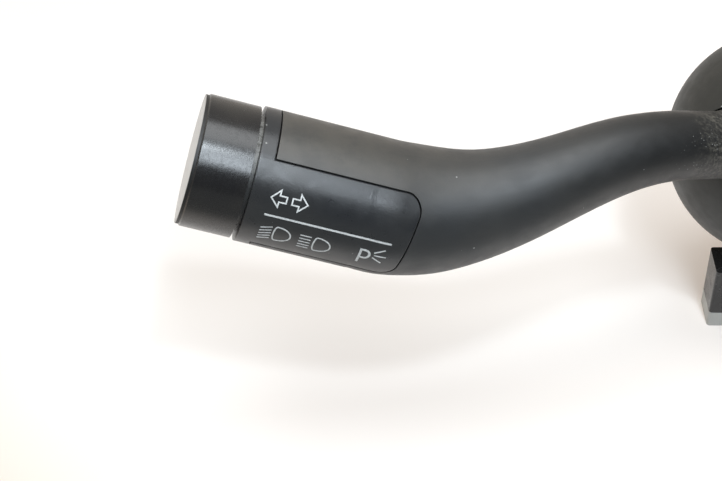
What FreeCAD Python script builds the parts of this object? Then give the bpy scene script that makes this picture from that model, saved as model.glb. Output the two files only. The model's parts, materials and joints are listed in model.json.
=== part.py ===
import FreeCAD, Part
import math
import os

# Steering column switch module: an airbag clock spring with its angle sensor, on a column carrier,
# and the turn indicator switch with its curved stalk.
# X runs to the driver's right, Y along the steering column away from the driver, Z up.
# The origin is on the column axis, at the rear face of the carrier. Millimetres throughout.

Vector = FreeCAD.Vector
OUT = "parts"
MICRO = 0.1      # gap between pieces of one body that only seat on each other
RUN = 0.05       # radial clearance of a shaft that turns in a hole
FREE = 0.3       # gap between pieces that move past each other
OVER = 1.0       # how far a cutting shape runs past the face that it cuts
FAR = 200.0      # reach of a cutting shape that takes all on one side

# Overall layout
SPRING_R = 44.0            # outer radius of the clock spring's cassette
FOOT_DROP = 2.0            # how far its foot stands below it
STAND_Z = -SPRING_R - FOOT_DROP     # the surface that the module stands on
PIVOT = Vector(-78.0, -26.0, 0.0)   # centre of the stalk's ball

# Stalk grip, measured along its straight axis from the tip
TIP = Vector(-135.1, -38.7, 26.0)   # centre of the tip face, from the pivot
GRIP_RISE = 16.5           # degrees that the grip climbs towards its tip
GRIP_YAW = -1.7            # degrees that the grip leans towards the driver going inwards
LEGEND_TURN = 10.0         # degrees that the legend faces above the driver's direction
GRIP_R = 14.4
CAP_STEP = 0.35            # how far the cap stays inside the grip's surface
CAP_R = GRIP_R - CAP_STEP
DISC_R = CAP_R - 0.3
DISC_THICK = 1.0
DISC_CROWN = 0.35
CAP_END = 11.95            # inner end of the push cap
CAP_WALL = 1.4
CAP_CHAMFER = 0.3
NOSE_GAP = 0.45            # between the cap's skirt and the arm's nose inside it
NOSE_REACH = 2.0           # how far the nose goes into the cap
PRESS_GAP = 1.0            # groove between cap and sleeve
PRESS_TRAVEL = 0.8
SLEEVE_START = CAP_END + PRESS_GAP
SLEEVE_RING = 3.1          # axial width of the full ring of the legend sleeve
SLEEVE_SKIN = 2.0
TONGUE_END = 47.0
TONGUE_SLANT = 0.9         # how much further the tongue's upper corner reaches
TONGUE_HALF = 9.8          # half width of the legend tongue across the grip
TONGUE_ROUND = 3.5
SEAM = 0.3
STRAIGHT_END = 42.0        # where the grip starts to bend
BLEND = 2.5                # spacing of the sections that keep the bend in line with the grip

# Stalk centreline between the ball and the grip: place from the pivot, and diameter there
NECK = Vector(-20.4, -19.0, 14.3)
NECK_R = 7.5
BEND = Vector(-57.0, -34.0, 17.0)
STATIONS = [
    (NECK, 2 * NECK_R),
    (Vector(-30.5, -23.8, 17.8), 15.2),
    (Vector(-43.8, -28.9, 19.0), 16.6),
    (BEND, 18.6),
    (Vector(-69.9, -37.6, 14.2), 22.1),
    (Vector(-82.6, -39.2, 12.6), 26.6),
    (Vector(-90.0, -39.6, 13.1), 28.3),
]
NECK_START = 19.4          # distance from the pivot to the arm's socket end
SPIGOT_R = 4.6
SPIGOT_END = 30.0
DUCT_R = 2.2

# Ball shield
BALL_R = 27.0
BALL_WALL = 1.8
BALL_RIM = 8.0             # the shield's open rim, to the right of the pivot
BALL_HOLE = 0.5            # gap between the shield and the arm that it goes round
BALL_STEPS = 5             # conical steps of the shield's inner face

# Push button inside the tip
STEM_R = 4.5
STEM_END = 22.0
GUIDE_R = 9.0
GUIDE_SET = 1.5            # the guide's end, inside the sleeve's
GUIDE_WELL = 4.5           # depth of the spring's seat
GUIDE_END = 23.6
POCKET_END = 30.0
BUTTON_WIRE = 0.7
SPRING_ROOM = 1.2          # from the stem to the middle of the spring's wire
SWITCH_HALF = 3.0
SWITCH_END = 3.6

# Yoke and lever at the ball's centre, from the pivot
YOKE_X = 8.0
YOKE_Y = 11.0
YOKE_Z = 9.0
YOKE_GAP_Y = 6.2
YOKE_BAR = 2.2
YOKE_GAP_Z = 6.0
TRUNNION_R = 2.5
ARM_IN = 13.5              # inner face of the case's bearing arms
ARM_OUT = 16.0
ARM_HALF = 7.0
ROOT_Y = 4.5
ROOT_Z = 5.7
ROOT_LEFT = 15.0
HORN = Vector(-13.2, -3.5, 2.5)     # where the horn leaves the root block, from the pivot
HORN_R = 2.9
FLANGE_R = 6.8
FLANGE_THICK = 1.3
BEAM_PIN_R = 1.5
TAIL_HALF = 3.5
TAIL_END = 30.0
PLUNGER_R = 2.5
PLUNGER_START = 22.0
PLUNGER_SHANK = 33.0
SPRING_SEAT = 18.0
RIDGE_GAP = 0.25
FINGER_X = 22.5
FINGER_R = 1.3
FINGER_SLOT = 0.5
SLIDER_THICK = 2.0
SLIDER_HALF = 4.0
SLIDER_WIDE = 4.6
RAIL_WALL = 1.4
RAIL_LIP = 0.9
RAIL_OFF = 0.3
RAIL_END = 3.0             # the rails stop short of the board's ends by this
RAIL_BAR = 1.6
BOARD_OFF = 0.6            # gap behind the contact board
BOARD_SMALL = 1.0
BOARD_REACH = 14.0         # half height of the contact board
TERMINALS = 5
TERMINAL = 0.64
TERMINAL_PITCH = 4.1
PIN_SET = 4.3              # depth of the plug pins' tips inside their sockets

# Indicator switch case
CASE_WALL = 2.0
CASE_LEFT = -64.0
CASE_STEP = -47.0          # right of this the front wall steps back behind the cassette
CASE_RIGHT = -33.0
LID_THICK = 2.0
CASE_TOP = 25.0
PLUG_SHOW = 4.4            # how much of the grey connector shows below the case
CASE_BOTTOM = STAND_Z + PLUG_SHOW
CASE_REAR = PIVOT.y + ARM_OUT
CASE_FRONT = PIVOT.y - ARM_OUT
CASE_FRONT_RIGHT = -37.5
LEG_REACH = 27.7           # how far the plug leg reaches left of the case
LEG_LEFT = CASE_LEFT - LEG_REACH
LEG_FRONT = -40.0
LEG_DEPTH = 9.5
LEG_TOP = -28.5
LEG_WALL = 1.5
LEG_PLUG = 25.0            # width of the grey connector under the leg
TAB_X = -36.5
TAB_Z = 32.0
TAB_THICK = 2.0
TAB_HALF = 4.0
LID_TAB_X = -26.5
LID_TAB_Z = -33.0
PAWL_PIN_R = 1.6
PAWL_HUB_R = 3.4
PAWL_BOSS = 1.2
LEAF = 0.3

# Clock spring cassette
SPRING_WALL = 2.0
SPRING_BACK = -38.0
FLOOR_BACK = -44.0
FLOOR_FRONT = -46.0
SPRING_FRONT = -62.0
COVER_THICK = 2.0
COVER_OPEN_R = 27.0
SKIRT_GAP = 0.15
SKIRT_WALL = 1.25
SKIRT_R = SPRING_R + SKIRT_GAP + SKIRT_WALL
SKIRT_FRONT = -62.0
SKIRT_BACK = -55.0
SNAPS = 6
SNAP_PROUD = 0.9
SNAP_HALF = 2.5
LUG_OUT = 6.0
LUG_R = SPRING_R + LUG_OUT          # radius of the three fixing lugs
LUG_ANGLES = (50.0, 130.0, -38.0)
SCREW_R = 1.5
PILOT_R = 1.3
LUG_SIZE = 4.4
LUG_THICK = 3.0
TOWER_HALF = 15.0
TOWER_FRONT = SKIRT_BACK + FREE

# Rotor
SLEEVE_IN = 18.0
SLEEVE_OUT = 21.0
SLEEVE_BACK = -39.0
ROTOR_R = 33.0
ROTOR_FRONT = -64.5
ROTOR_THICK = 2.0
PEG_R = 2.5
PEG_PCD = 50.0
PEG_LENGTH = 8.0
SOCKET_DEPTH = 8.5
SQUIB_HALF = 15.0
SQUIB_LOW = 20.5
SQUIB_HIGH = 29.5
HORN_HALF = 12.5

# Flat cable
CABLE_TURNS = 5
CABLE_THICK = 0.4
CABLE_WIDTH = 13.0
CABLE_INNER = 22.6
CABLE_ROOM = 2.8           # between the cable's outer turn and the cassette's wall
CABLE_OUTER = SPRING_R - SPRING_WALL - CABLE_ROOM
CABLE_FRONT = SPRING_FRONT + COVER_THICK + 0.5
ANCHOR_SET = 0.5

# Angle sensor gears
MODULE = 0.8
RING_TEETH = 68
GEAR_A_TEETH = 16
GEAR_B_TEETH = 17
GEAR_FRONT = -43.2
GEAR_THICK = 3.0
BACKLASH = 0.14
GEAR_PIN_R = 1.5
PITCHES_APART = 9
PRESSURE = 20.0
FLANK_STEPS = 2
RING_ADDENDUM = 0.85

# Cancel cam and pawl
CAM_R = 20.3
CAM_LOBE = 22.4
CAM_FRONT = -35.4
CAM_BACK = -32.5
PAWL_PIVOT = Vector(-38.0, 0.0, 16.0)
PAWL_TIP_R = 24.4
PAWL_ANGLE = 150.0         # where the pawl's tip stands round the column
PAWL_ROUND = 1.4
PAWL_FRONT = -34.6
PAWL_THICK = 1.6

# Carrier
PLATE_FRONT = SPRING_BACK
PLATE_THICK = 3.0
PLATE_BACK = PLATE_FRONT + PLATE_THICK
POST_LENGTH = 5.0
GUSSET_REACH = 7.0
GUSSET_HALF = 1.2
COLUMN_R = 23.0
COLLAR_R = 26.5
COLLAR_LIP = 1.5
COUNTER_R = COLLAR_R - COLLAR_LIP
COLLAR_FRONT = -29.0
CARRIER_LEFT = -30.5
CARRIER_RIGHT = 62.0
CARRIER_TOP = 46.0
CARRIER_BOTTOM = STAND_Z + 6.0
CARRIER_EAR = -41.0
EAR_BOTTOM = 27.0
CARRIER_WALL = 2.2
RIM_BACK = -27.0
BOX_LEFT = 31.0            # left wall of the electronics box
BOX_BACK = -4.0
BOX_FLOOR = 1.5
BOSS_R = 3.6
BAND_FRONT = -10.0
BAND_BACK = -2.0
BAND_GAP = 0.2
BAND_THICK = 1.2
CLAMP_R = 2.0
SLIT_ANGLES = (30.0, 150.0, 270.0)
PAWL_SLOT = 5.0
CORNER = 6.0
BOARD_FRONT = -22.0
BOARD_THICK = 1.6
PLUG_LEFT = 36.5
PLUG_RIGHT = 58.5
PLUG_FRONT = -31.0
PLUG_BACK = -12.0
PLUG_NECK = 1.3
GUSSET_ANGLES = (40, 90, 115, 270, 300, 320)


# Basic shapes

def box(x0, x1, y0, y1, z0, z1):
    return Part.makeBox(x1 - x0, y1 - y0, z1 - z0, Vector(x0, y0, z0))


def rod(radius, start, end):
    return Part.makeCylinder(radius, (end - start).Length, start, end - start)


def disc(radius, y0, y1, x=0.0, z=0.0):
    return rod(radius, Vector(x, y0, z), Vector(x, y1, z))


def ring(outer, inner, y0, y1, x=0.0, z=0.0):
    return disc(outer, y0, y1, x, z).cut(disc(inner, y0 - 1, y1 + 1, x, z))


def prism(points, y0, y1):
    """A closed outline of (x, z) points, extruded along Y."""
    wire = Part.makePolygon([Vector(x, y0, z) for x, z in points + points[:1]])
    return Part.Face(wire).extrude(Vector(0, y1 - y0, 0))


def round_edges(shape, radius, keep):
    """Rounds the edges for which keep(edge) is true."""
    return shape.makeFillet(radius, [e for e in shape.Edges if keep(e)])


def along(edge, axis):
    """True for a straight edge that runs along the axis."""
    if not isinstance(edge.Curve, (Part.Line, Part.LineSegment)):
        return False
    return abs(abs(edge.tangentAt(edge.FirstParameter).dot(axis)) - 1) < 1e-6


def union(shapes):
    first, *rest = shapes
    return first.multiFuse(rest).removeSplitter() if rest else first


def save(name, *shapes):
    solids = [s for shape in shapes for s in shape.Solids]
    for solid in solids:
        if not solid.isValid() or solid.Volume <= 0:
            raise ValueError(name + " has a bad solid")
    Part.Compound(solids).exportStep(os.path.join(OUT, name + ".step"))
    print(name, len(solids), round(sum(s.Volume for s in solids), 1))


def polar(radius, degrees, y=0.0):
    angle = math.radians(degrees)
    return Vector(radius * math.cos(angle), y, radius * math.sin(angle))


def coil(radius, wire_radius, pitch, height):
    """A coil of square wire that climbs along +Z from the origin."""
    helix = Part.makeHelix(pitch, height, radius)
    corners = [(1, 1), (-1, 1), (-1, -1), (1, -1), (1, 1)]
    half = wire_radius * 0.9
    profile = Part.makePolygon([Vector(radius + half * x, 0, half * z) for x, z in corners])
    return Part.Wire(helix.Edges).makePipeShell([profile], True, True)


def placed(shape, origin, x_axis, z_axis):
    """Puts a shape made about its own origin at a place, with its own X and Z along the axes."""
    y_axis = z_axis.cross(x_axis)
    matrix = FreeCAD.Matrix(
        x_axis.x, y_axis.x, z_axis.x, origin.x,
        x_axis.y, y_axis.y, z_axis.y, origin.y,
        x_axis.z, y_axis.z, z_axis.z, origin.z,
        0, 0, 0, 1)
    moved = shape.copy()
    moved.Placement = FreeCAD.Placement(matrix).multiply(shape.Placement)
    return moved


# Stalk. The grip's own frame starts at the tip, with X towards the ball, Y up and Z at the legend.

def grip_axes():
    rise, yaw, turn = (math.radians(a) for a in (GRIP_RISE, GRIP_YAW, LEGEND_TURN))
    inward = Vector(math.cos(rise) * math.cos(yaw), math.sin(yaw), -math.sin(rise) * math.cos(yaw))
    front = Vector(0, -1, 0)
    front = (front - inward * front.dot(inward)).normalize()
    up = front.cross(inward)
    return inward, front * math.cos(turn) + up * math.sin(turn)


def to_grip(shape):
    inward, legend = grip_axes()
    return placed(shape, PIVOT + TIP, inward, legend)


def grip_rod(radius, start, end):
    return rod(radius, Vector(start, 0, 0), Vector(end, 0, 0))


def neck_direction():
    return Vector(NECK).normalize()


def stations():
    """Centre, tangent and radius along the arm, from the ball to the end of the grip."""
    inward, legend = grip_axes()
    first = neck_direction() * NECK_START
    straight = [TIP + inward * (STRAIGHT_END - BLEND * i) for i in range(3)]
    end = TIP + inward * SLEEVE_START
    points = [first] + [p for p, d in STATIONS] + straight
    radii = [NECK_R] + [d / 2 for p, d in STATIONS] + [GRIP_R] * len(straight)
    curve = Part.BSplineCurve()
    curve.interpolate(points, InitialTangent=neck_direction() * 10, FinalTangent=inward * -10)
    rows = []
    for point, radius in zip(points, radii):
        tangent = curve.tangent(curve.parameter(point))[0]
        rows.append((PIVOT + point, tangent, radius))
    rows.append((PIVOT + end, inward * -1, GRIP_R))
    return rows


def circle(centre, direction, radius):
    """A circular wire whose seam always faces up, so that lofts don't twist."""
    axis = Vector(direction).normalize()
    up = Vector(0, 0, 1)
    side = (up - axis * up.dot(axis)).normalize()
    return Part.Wire(placed(Part.makeCircle(radius), centre, side, axis).Edges)


def lofted(rows):
    return Part.makeLoft([circle(p, t, r) for p, t, r in rows], True, False)


def arm_bend(gap):
    """The curved part of the arm, grown all round by a gap."""
    return lofted([(p, t, r + gap) for p, t, r in stations()[:-1]])


def arm_outer():
    rows = stations()
    return arm_bend(0).fuse(rod(GRIP_R, rows[-2][0], rows[-1][0]))


def tongue_prism(gap):
    """The legend tongue's outline in the grip's frame, standing from the axis towards the legend."""
    half, end = TONGUE_HALF + gap, TONGUE_END + gap
    block = upright([(SLEEVE_START, -half), (end - TONGUE_SLANT, -half), (end + TONGUE_SLANT, half),
                     (SLEEVE_START, half)], 0, GRIP_R + TONGUE_ROUND)
    return round_edges(block, TONGUE_ROUND + gap,
                       lambda e: along(e, Vector(0, 0, 1)) and e.BoundBox.XMin > STRAIGHT_END)


def stalk_arm(outer):
    """The arm, with a seat for the legend sleeve, a pocket for the push button and a wire duct."""
    core_r = GRIP_R - SLEEVE_SKIN - MICRO
    end_ring = grip_rod(GRIP_R + OVER, SLEEVE_START - OVER, SLEEVE_START + SLEEVE_RING + SEAM)
    seat = tongue_prism(SEAM).fuse(end_ring).cut(grip_rod(core_r, 0, TONGUE_END + GRIP_R))
    nose = grip_rod(CAP_R - CAP_WALL - NOSE_GAP, CAP_END - NOSE_REACH, SLEEVE_START + OVER)
    pocket = grip_rod(GUIDE_R + MICRO, CAP_END - NOSE_REACH - OVER, POCKET_END)
    arm = outer.cut(to_grip(seat)).fuse(to_grip(nose)).cut(to_grip(pocket))
    inward, legend = grip_axes()
    neck = neck_direction()
    arm = arm.cut(rod(SPIGOT_R + MICRO, PIVOT + neck * (NECK_START - OVER), PIVOT + neck * (SPIGOT_END + OVER)))
    way = [PIVOT + neck * SPIGOT_END, PIVOT + BEND, PIVOT + TIP + inward * (POCKET_END - OVER)]
    for a, b in zip(way, way[1:]):
        arm = arm.cut(rod(DUCT_R, a, b + (b - a).normalize() * DUCT_R / 2))
    return arm


def legend_sleeve(outer):
    core_r = GRIP_R - SLEEVE_SKIN
    core = grip_rod(core_r, 0, TONGUE_END + GRIP_R)
    tongue = outer.common(to_grip(tongue_prism(0))).cut(to_grip(core))
    collar = grip_rod(GRIP_R, SLEEVE_START, SLEEVE_START + SLEEVE_RING).cut(core)
    return to_grip(collar).fuse(tongue)


def end_button():
    shell = grip_rod(CAP_R, DISC_THICK, CAP_END)
    shell = shell.makeChamfer(CAP_CHAMFER, [e for e in shell.Edges if e.BoundBox.XMax < DISC_THICK + MICRO])
    hollow = grip_rod(CAP_R - CAP_WALL, DISC_THICK + CAP_WALL, CAP_END + OVER)
    seat = grip_rod(DISC_R - 1.2, 0, DISC_THICK + 0.6)
    stem = grip_rod(STEM_R, DISC_THICK + CAP_WALL - 0.5, STEM_END)
    return to_grip(shell.cut(hollow).cut(seat).fuse(stem))


def end_disc():
    plate = grip_rod(DISC_R, DISC_CROWN, DISC_THICK)
    boss = grip_rod(DISC_R - 1.3, DISC_THICK, DISC_THICK + 0.5)
    radius = (DISC_R ** 2 + DISC_CROWN ** 2) / (2 * DISC_CROWN)
    crown = Part.makeSphere(radius, Vector(radius, 0, 0)).common(grip_rod(DISC_R, 0, DISC_CROWN))
    return to_grip(union([crown, plate, boss]))


def button_guide():
    tube = grip_rod(GUIDE_R, SLEEVE_START + GUIDE_SET, GUIDE_END)
    well = grip_rod(STEM_R + SPRING_ROOM + OVER, SLEEVE_START, SLEEVE_START + GUIDE_WELL)
    return to_grip(tube.cut(grip_rod(STEM_R + RUN, SLEEVE_START, GUIDE_END + OVER)).cut(well))


def button_spring():
    start = DISC_THICK + CAP_WALL + 0.5
    height = SLEEVE_START + GUIDE_WELL - start - BUTTON_WIRE
    spring = coil(STEM_R + SPRING_ROOM, BUTTON_WIRE / 2, height / 2.5, height - BUTTON_WIRE)
    return to_grip(placed(spring, Vector(start + BUTTON_WIRE, 0, 0), Vector(0, 1, 0), Vector(1, 0, 0)))


def tact_switch():
    end = GUIDE_END + SWITCH_END
    body = box(GUIDE_END + MICRO, end, -SWITCH_HALF, SWITCH_HALF, -SWITCH_HALF, SWITCH_HALF)
    nub = grip_rod(SWITCH_HALF / 2, STEM_END + PRESS_TRAVEL + MICRO, GUIDE_END + MICRO)
    wide, tall = 2.1 * SWITCH_HALF, 1.5 * SWITCH_HALF
    board = box(end + MICRO, end + MICRO + 1.2, -wide, wide, -tall, tall)
    return to_grip(body.fuse(nub)), to_grip(board)


def ball_shield():
    ball = Part.makeSphere(BALL_R, PIVOT, Vector(1, 0, 0))
    ball = ball.cut(box(PIVOT.x + BALL_RIM, FAR, -FAR, FAR, -FAR, FAR))
    inner = BALL_R - BALL_WALL
    profile = [Vector(PIVOT.x + BALL_RIM + OVER, PIVOT.y, 0)]
    start = math.acos((BALL_RIM + OVER) / inner)
    for i in range(BALL_STEPS + 1):
        angle = start + (math.pi - start) * i / BALL_STEPS
        profile.append(Vector(PIVOT.x + inner * math.cos(angle), PIVOT.y + inner * math.sin(angle), 0))
    profile.append(profile[0])
    hollow = Part.Face(Part.makePolygon(profile)).revolve(PIVOT, Vector(1, 0, 0), 360)
    return ball.cut(hollow).cut(arm_bend(BALL_HOLE))


# Lever, yoke and detent

def lever_root():
    block = box(PIVOT.x - ROOT_LEFT, PIVOT.x + YOKE_X + 2, PIVOT.y - ROOT_Y, PIVOT.y + ROOT_Y, -ROOT_Z, ROOT_Z)
    direction = neck_direction()
    seat = PIVOT + direction * (NECK_START - MICRO - FLANGE_THICK)
    horn = rod(HORN_R, PIVOT + HORN, seat + direction * FLANGE_THICK / 2)
    plate = rod(FLANGE_R, seat, PIVOT + direction * (NECK_START - MICRO))
    spigot = rod(SPIGOT_R, seat, PIVOT + direction * SPIGOT_END)
    tail = box(PIVOT.x + YOKE_X, PIVOT.x + TAIL_END, PIVOT.y - TAIL_HALF, PIVOT.y + TAIL_HALF,
               -TAIL_HALF, TAIL_HALF)
    tail = round_edges(tail, 0.8, lambda e: along(e, Vector(1, 0, 0)))
    root = union([block, horn, plate, spigot, tail])
    root = root.cut(rod(BEAM_PIN_R + RUN, PIVOT - Vector(0, 0, 20), PIVOT + Vector(0, 0, 20)))
    bore = rod(PLUNGER_R + RUN, PIVOT + Vector(SPRING_SEAT, 0, 0), PIVOT + Vector(TAIL_END + 1, 0, 0))
    return root.cut(bore)


def beam_pin():
    reach = Vector(0, 0, YOKE_Z)
    return rod(BEAM_PIN_R, PIVOT - reach, PIVOT + reach)


def yoke():
    x, y, z = PIVOT
    frame = box(x - YOKE_X, x + YOKE_X, y - YOKE_Y, y + YOKE_Y, -YOKE_Z, YOKE_Z)
    frame = round_edges(frame, 2.0, lambda e: along(e, Vector(1, 0, 0)))
    window = box(x - 20, x + 20, y - YOKE_GAP_Y, y + YOKE_GAP_Y, -YOKE_GAP_Z, YOKE_GAP_Z)
    trunnions = disc(TRUNNION_R, y - ARM_OUT + 0.4, y + ARM_OUT - 0.4, x, 0)
    side = y - YOKE_Y + 2.0
    bar = box(x + YOKE_X - OVER, x + FINGER_X + YOKE_BAR, side, side + YOKE_BAR, -3, 3)
    face = CASE_FRONT + CASE_WALL + BOARD_OFF + BOARD_SMALL + MICRO
    finger = disc(FINGER_R, face + 1.3, side + 1, x + FINGER_X, 0)
    body = union([frame, trunnions, bar, finger]).cut(window)
    return body.cut(rod(BEAM_PIN_R, PIVOT - Vector(0, 0, 20), PIVOT + Vector(0, 0, 20)))


def detent_plunger():
    start = PIVOT + Vector(PLUNGER_START, 0, 0)
    end = PIVOT + Vector(PLUNGER_SHANK, 0, 0)
    body = rod(PLUNGER_R, start, end).fuse(Part.makeSphere(PLUNGER_R, end))
    return body.removeSplitter()


def detent_spring():
    height = PLUNGER_START - SPRING_SEAT - 0.8
    spring = coil(1.7, 0.25, height / 3.0, height)
    start = PIVOT + Vector(SPRING_SEAT + 0.4, 0, 0)
    return placed(spring, start, Vector(0, 1, 0), Vector(1, 0, 0))


def detent_track():
    reach = PLUNGER_SHANK + PLUNGER_R
    x, y, z = PIVOT
    block = box(x + reach - 2.2, CASE_RIGHT - MICRO, y - 9.3, y + 9.3, -10, 10)
    block = block.cut(Part.makeSphere(reach + RIDGE_GAP, PIVOT))
    for angle in (-8.0, 0.0, 8.0):
        place = PIVOT + polar(reach - 1.5, angle)
        block = block.cut(rod(2.4, place - Vector(0, 12, 0), place + Vector(0, 12, 0)))
    return block


# Indicator switch case

def case_outline(offset):
    """The case's stepped plan as (x, y) points, drawn in by offset."""
    right = CASE_RIGHT + (1 if offset else 0)
    return [
        (CASE_LEFT + offset, CASE_FRONT + offset),
        (CASE_STEP - offset, CASE_FRONT + offset),
        (CASE_STEP - offset, CASE_FRONT_RIGHT + offset),
        (right, CASE_FRONT_RIGHT + offset),
        (right, CASE_REAR - offset),
        (CASE_LEFT + offset, CASE_REAR - offset),
    ]


def upright(points, z0, z1):
    """A closed outline of (x, y) points, extruded along Z."""
    wire = Part.makePolygon([Vector(x, y, z0) for x, y in points + points[:1]])
    return Part.Face(wire).extrude(Vector(0, 0, z1 - z0))


def switch_case():
    x, y, z = PIVOT
    body = upright(case_outline(0), CASE_BOTTOM, CASE_TOP)
    body = round_edges(body, 1.2, lambda e: along(e, Vector(0, 0, 1)) and e.BoundBox.XMax < CASE_STEP - 1)
    arms = []
    for y0, y1 in ((CASE_FRONT, y - ARM_IN), (y + ARM_IN, CASE_REAR)):
        arm = box(x, CASE_LEFT + 3, y0, y1, -ARM_HALF, ARM_HALF)
        arms.append(arm.fuse(disc(ARM_HALF, y0, y1, x, 0)))
    leg = box(LEG_LEFT, CASE_LEFT + 3, LEG_FRONT, LEG_FRONT + LEG_DEPTH, CASE_BOTTOM, LEG_TOP)
    leg = round_edges(leg, 0.8, lambda e: along(e, Vector(0, 0, 1)) and e.BoundBox.XMax < LEG_LEFT + 1)
    tab0 = PLATE_BACK + MICRO
    post = polar(LUG_R, LUG_ANGLES[1])
    tab = box(TAB_X - TAB_HALF, CASE_RIGHT, tab0, tab0 + TAB_THICK, CASE_TOP - 2, TAB_Z + TAB_HALF + 1)
    tab = tab.cut(disc(LUG_SIZE + FREE, tab0 - OVER, tab0 + TAB_THICK + OVER, post.x, post.z))
    hull = union([body, leg, tab] + arms)
    inner = upright(case_outline(CASE_WALL), CASE_BOTTOM + CASE_WALL, CASE_TOP - CASE_WALL)
    leg_inner = box(LEG_LEFT + LEG_WALL, CASE_LEFT + 4, LEG_FRONT + LEG_WALL,
                    LEG_FRONT + LEG_DEPTH - LEG_WALL, CASE_BOTTOM - 1, LEG_TOP - LEG_WALL)
    leg_floor = box(LEG_LEFT + LEG_PLUG, CASE_LEFT + 4, -FAR, 0, CASE_BOTTOM - 2, CASE_BOTTOM + LEG_WALL)
    window = box(CASE_LEFT - 1, CASE_LEFT + 4, y - ARM_IN, y + ARM_IN, -13, 13)
    holes = disc(TRUNNION_R + RUN, CASE_FRONT - 1, CASE_REAR + 1, x, 0)
    hull = hull.cut(inner).cut(leg_inner.cut(leg_floor)).cut(window).cut(holes)
    hull = hull.cut(disc(SCREW_R + MICRO, tab0 - 1, tab0 + TAB_THICK + 1, TAB_X, TAB_Z))
    boss = disc(PAWL_PIN_R + PAWL_BOSS, CASE_FRONT_RIGHT + CASE_WALL - 0.5, PAWL_FRONT - FREE,
                PAWL_PIVOT.x, PAWL_PIVOT.z)
    bore = disc(PAWL_PIN_R + MICRO, CASE_FRONT_RIGHT + CASE_WALL / 2, PAWL_FRONT, PAWL_PIVOT.x, PAWL_PIVOT.z)
    return hull.fuse(boss).cut(bore)


def switch_lid():
    x0, x1 = CASE_RIGHT, CASE_RIGHT + LID_THICK
    lid = box(x0, x1, CASE_FRONT_RIGHT, CASE_REAR, CASE_BOTTOM, CASE_TOP)
    lid = round_edges(lid, 0.8, lambda e: along(e, Vector(1, 0, 0)))
    slot = box(x0 - 1, x1 + 1, PAWL_FRONT - 0.7, PAWL_FRONT + PAWL_THICK + 0.7, 7, 22)
    rib = box(x0 - 1.2, x0, CASE_FRONT_RIGHT + CASE_WALL + MICRO, CASE_REAR - CASE_WALL - MICRO,
              CASE_BOTTOM + CASE_WALL + MICRO, -22)
    tab0 = PLATE_BACK + MICRO
    tab = box(x1 - 0.5, LID_TAB_X + TAB_HALF, tab0, tab0 + TAB_THICK, LID_TAB_Z - TAB_HALF, LID_TAB_Z + TAB_HALF)
    tab = round_edges(tab, 2.0, lambda e: along(e, Vector(0, 1, 0)) and e.BoundBox.XMin > LID_TAB_X)
    tab = tab.cut(disc(SCREW_R + MICRO, tab0 - 1, tab0 + TAB_THICK + 1, LID_TAB_X, LID_TAB_Z))
    return lid.fuse(rib).fuse(tab).cut(slot)


def contact_board():
    """Upright board on the case's front wall, with two feet."""
    x0, x1 = CASE_LEFT + CASE_WALL + 0.5, CASE_STEP - CASE_WALL - 0.5
    wall = CASE_FRONT + CASE_WALL
    board = box(x0, x1, wall + BOARD_OFF, wall + BOARD_OFF + BOARD_SMALL, -BOARD_REACH, BOARD_REACH)
    for x in (x0 + 1.5, x1 - 1.5):
        for z in (-BOARD_REACH + 1.5, BOARD_REACH - 1.5):
            board = board.fuse(disc(1.0, wall + MICRO, wall + BOARD_OFF + 0.2, x, z))
    return board


def contact_slider():
    x = PIVOT.x + FINGER_X
    face = CASE_FRONT + CASE_WALL + BOARD_OFF + BOARD_SMALL + MICRO
    block = box(x - SLIDER_WIDE, x + SLIDER_WIDE, face, face + SLIDER_THICK, -SLIDER_HALF, SLIDER_HALF)
    block = round_edges(block, 0.6, lambda e: along(e, Vector(0, 1, 0)))
    half = FINGER_R + FINGER_SLOT
    slot = box(x - half, x + half, face + 1.0, face + SLIDER_THICK + 1, -FINGER_R - RUN, FINGER_R + RUN)
    return block.cut(slot)


def slider_rails():
    """Two upright rails on the case's front wall that guide the contact slider."""
    x = PIVOT.x + FINGER_X
    face = CASE_FRONT + CASE_WALL + BOARD_OFF + BOARD_SMALL
    rails = []
    for side in (-1, 1):
        edge = x + side * (SLIDER_WIDE + RUN)
        outer = edge + side * RAIL_WALL
        lip = edge - side * RAIL_LIP
        over = face + SLIDER_THICK + 2 * MICRO
        end = BOARD_REACH - RAIL_END
        x0, x1 = sorted((edge, outer))
        rail = box(x0, x1, face + RAIL_OFF, over + RAIL_LIP, -end, end)
        l0, l1 = sorted((lip, outer))
        rails.append(rail.fuse(box(l0, l1, over, over + RAIL_LIP, -end, end)))
    half = SLIDER_WIDE + RAIL_WALL
    bars = [box(x - half, x + half, face + RAIL_OFF, face + SLIDER_THICK + OVER, z, z + RAIL_BAR)
            for z in (-BOARD_REACH + RAIL_WALL, BOARD_REACH - RAIL_END)]
    return union(rails + bars)


def terminals():
    """Five bent strips from the contact board down into the grey connector."""
    strips = []
    y = LEG_FRONT + LEG_DEPTH / 2
    half = TERMINAL / 2
    for i in range(TERMINALS):
        x = LEG_LEFT + 4.2 + i * TERMINAL_PITCH
        level = LEG_TOP - LEG_WALL - 1.0 - i * 1.1
        rise = CASE_LEFT + CASE_WALL + 2.2 + i * 1.9
        strips.append(union([
            box(x - half, x + half, y - half, y + half, STAND_Z + PIN_SET, level),
            box(x - half, rise + half, y - half, y + half, level - TERMINAL, level),
            box(rise - half, rise + half, y - half, y + half, level - TERMINAL, -BOARD_REACH + 0.8),
            box(rise - half, rise + half, CASE_FRONT + CASE_WALL + BOARD_OFF + BOARD_SMALL,
                y + half, -BOARD_REACH + 0.2, -BOARD_REACH + 0.8),
        ]))
    return strips


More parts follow.
